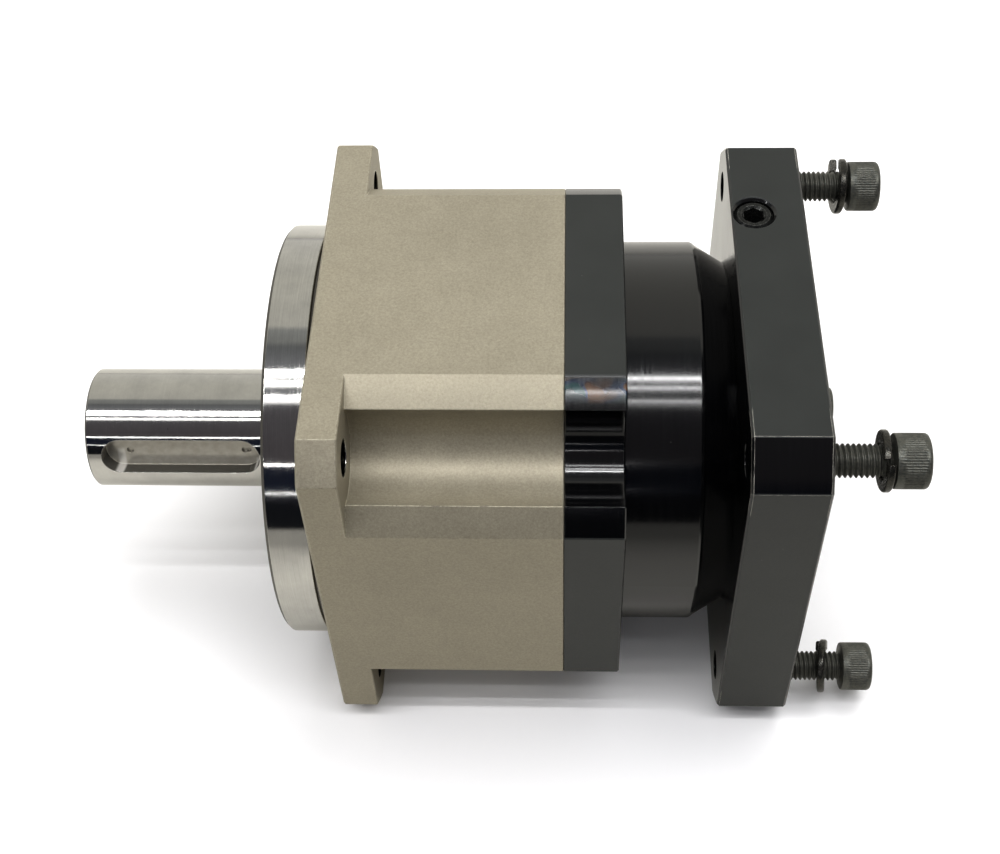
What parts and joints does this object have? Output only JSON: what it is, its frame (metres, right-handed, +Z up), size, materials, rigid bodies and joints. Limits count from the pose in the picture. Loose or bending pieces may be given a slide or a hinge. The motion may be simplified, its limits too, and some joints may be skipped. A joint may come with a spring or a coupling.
{
  "type": "planetary gearbox",
  "caption": "Inline planetary servo gearbox with a square mounting flange, keyed output shaft, round black input neck and a bolted square motor adapter plate.",
  "frame": {"origin": "on the output shaft axis, in the mounting face of the square flange", "axes": "+X along the output shaft, pointing out of the gearbox; +Z up, normal to the housing's upper flat; motor side towards -X"},
  "size_m": [0.2106, 0.115, 0.115],
  "materials": {
    "nickel_plated_steel": "bead blasted and nickel plated, satin warm grey; the pilot is ground bright",
    "ground_steel": "ground, bright",
    "black_anodised": "black anodised, satin on flats, glossy where turned",
    "gear_steel": "ground gear steel",
    "bearing_steel": "polished bearing steel",
    "pressed_cage": "pressed steel, satin",
    "black_rubber": "nitrile rubber, matte",
    "black_oxide": "black oxide, dull",
    "spring_steel": "blackened spring steel, oily",
    "collar_steel": "turned steel"
  },
  "bodies": {
    "gearbox_body": {"housing": "nickel_plated_steel", "output_bearing_outer": "bearing_steel", "rear_bearing_outer": "bearing_steel", "input_bearing_outer": "bearing_steel", "output_seal": "black_rubber", "output_bearing_circlip": "spring_steel", "input_bearing_circlip": "spring_steel", "input_seal": "black_rubber", "housing_o_ring": "black_rubber", "input_housing": "black_anodised", "input_housing_screws": "black_oxide", "adapter_plate": "black_anodised", "adapter_screws": "black_oxide", "access_plug": "black_oxide", "motor_screws": "black_oxide"},
    "output_shaft": {"output_carrier_shaft": "ground_steel", "planet_pins": "bearing_steel", "planet_thrust_washers": "bearing_steel", "output_bearing_inner": "bearing_steel", "rear_bearing_inner": "bearing_steel", "rear_bearing_snap_ring": "spring_steel"},
    "input_shaft": {"sun_gear_input_shaft": "gear_steel", "clamp_collar": "collar_steel", "clamp_screw": "black_oxide", "input_bearing_inner": "bearing_steel", "input_bearing_snap_ring": "spring_steel"},
    "planet_1": {"planet_gear_1": "gear_steel"},
    "planet_2": {"planet_gear_2": "gear_steel"},
    "planet_3": {"planet_gear_3": "gear_steel"},
    "needle_set_1": {"planet_needles_1": "bearing_steel"},
    "needle_set_2": {"planet_needles_2": "bearing_steel"},
    "needle_set_3": {"planet_needles_3": "bearing_steel"},
    "output_bearing_set": {"output_bearing_balls": "bearing_steel", "output_bearing_cage": "pressed_cage"},
    "rear_bearing_set": {"rear_bearing_balls": "bearing_steel", "rear_bearing_cage": "pressed_cage"},
    "input_bearing_set": {"input_bearing_balls": "bearing_steel", "input_bearing_cage": "pressed_cage"},
    "washer_1": {"lock_washer_1": "spring_steel"},
    "washer_2": {"lock_washer_2": "spring_steel"},
    "washer_3": {"lock_washer_3": "spring_steel"},
    "washer_4": {"lock_washer_4": "spring_steel"}
  },
  "joints": [
    {"name": "output_spin", "type": "hinge", "parent": "gearbox_body", "child": "output_shaft", "pos_m": [0, 0, 0], "axis": [1, 0, 0], "continuous": true},
    {"name": "input_spin", "type": "hinge", "parent": "gearbox_body", "child": "input_shaft", "pos_m": [-0.086, 0, 0], "axis": [1, 0, 0], "continuous": true},
    {"name": "planet_1_spin", "type": "hinge", "parent": "output_shaft", "child": "planet_1", "pos_m": [-0.0433, 0, 0.03375], "axis": [1, 0, 0], "continuous": true},
    {"name": "planet_2_spin", "type": "hinge", "parent": "output_shaft", "child": "planet_2", "pos_m": [-0.0433, -0.02923, -0.01688], "axis": [1, 0, 0], "continuous": true},
    {"name": "planet_3_spin", "type": "hinge", "parent": "output_shaft", "child": "planet_3", "pos_m": [-0.0433, 0.02923, -0.01688], "axis": [1, 0, 0], "continuous": true},
    {"name": "needle_set_1_spin", "type": "hinge", "parent": "output_shaft", "child": "needle_set_1", "pos_m": [-0.0433, 0, 0.03375], "axis": [1, 0, 0], "continuous": true},
    {"name": "needle_set_2_spin", "type": "hinge", "parent": "output_shaft", "child": "needle_set_2", "pos_m": [-0.0433, -0.02923, -0.01688], "axis": [1, 0, 0], "continuous": true},
    {"name": "needle_set_3_spin", "type": "hinge", "parent": "output_shaft", "child": "needle_set_3", "pos_m": [-0.0433, 0.02923, -0.01688], "axis": [1, 0, 0], "continuous": true},
    {"name": "output_bearing_cage_spin", "type": "hinge", "parent": "gearbox_body", "child": "output_bearing_set", "pos_m": [-0.0115, 0, 0], "axis": [1, 0, 0], "continuous": true},
    {"name": "rear_bearing_cage_spin", "type": "hinge", "parent": "gearbox_body", "child": "rear_bearing_set", "pos_m": [-0.068, 0, 0], "axis": [1, 0, 0], "continuous": true},
    {"name": "input_bearing_cage_spin", "type": "hinge", "parent": "gearbox_body", "child": "input_bearing_set", "pos_m": [-0.086, 0, 0], "axis": [1, 0, 0], "continuous": true},
    {"name": "lock_washer_1_slide", "type": "slide", "parent": "gearbox_body", "child": "washer_1", "axis": [1, 0, 0], "range_m": [-0.0003, 0.0111]},
    {"name": "lock_washer_2_slide", "type": "slide", "parent": "gearbox_body", "child": "washer_2", "axis": [1, 0, 0], "range_m": [-0.00035, 0.0097]},
    {"name": "lock_washer_3_slide", "type": "slide", "parent": "gearbox_body", "child": "washer_3", "axis": [1, 0, 0], "range_m": [-0.0029, 0.0081]},
    {"name": "lock_washer_4_slide", "type": "slide", "parent": "gearbox_body", "child": "washer_4", "axis": [1, 0, 0], "range_m": [-0.00175, 0.0086]}
  ],
  "couplings": [
    {"joint": "input_spin", "follows": "output_spin", "ratio": 3},
    {"joint": "planet_1_spin", "follows": "output_spin", "ratio": -4},
    {"joint": "planet_2_spin", "follows": "output_spin", "ratio": -4},
    {"joint": "planet_3_spin", "follows": "output_spin", "ratio": -4},
    {"joint": "needle_set_1_spin", "follows": "output_spin", "ratio": -2.3666},
    {"joint": "needle_set_2_spin", "follows": "output_spin", "ratio": -2.3666},
    {"joint": "needle_set_3_spin", "follows": "output_spin", "ratio": -2.3666},
    {"joint": "output_bearing_cage_spin", "follows": "output_spin", "ratio": 0.40787},
    {"joint": "rear_bearing_cage_spin", "follows": "output_spin", "ratio": 0.45767},
    {"joint": "input_bearing_cage_spin", "follows": "output_spin", "ratio": 1.2817}
  ]
}
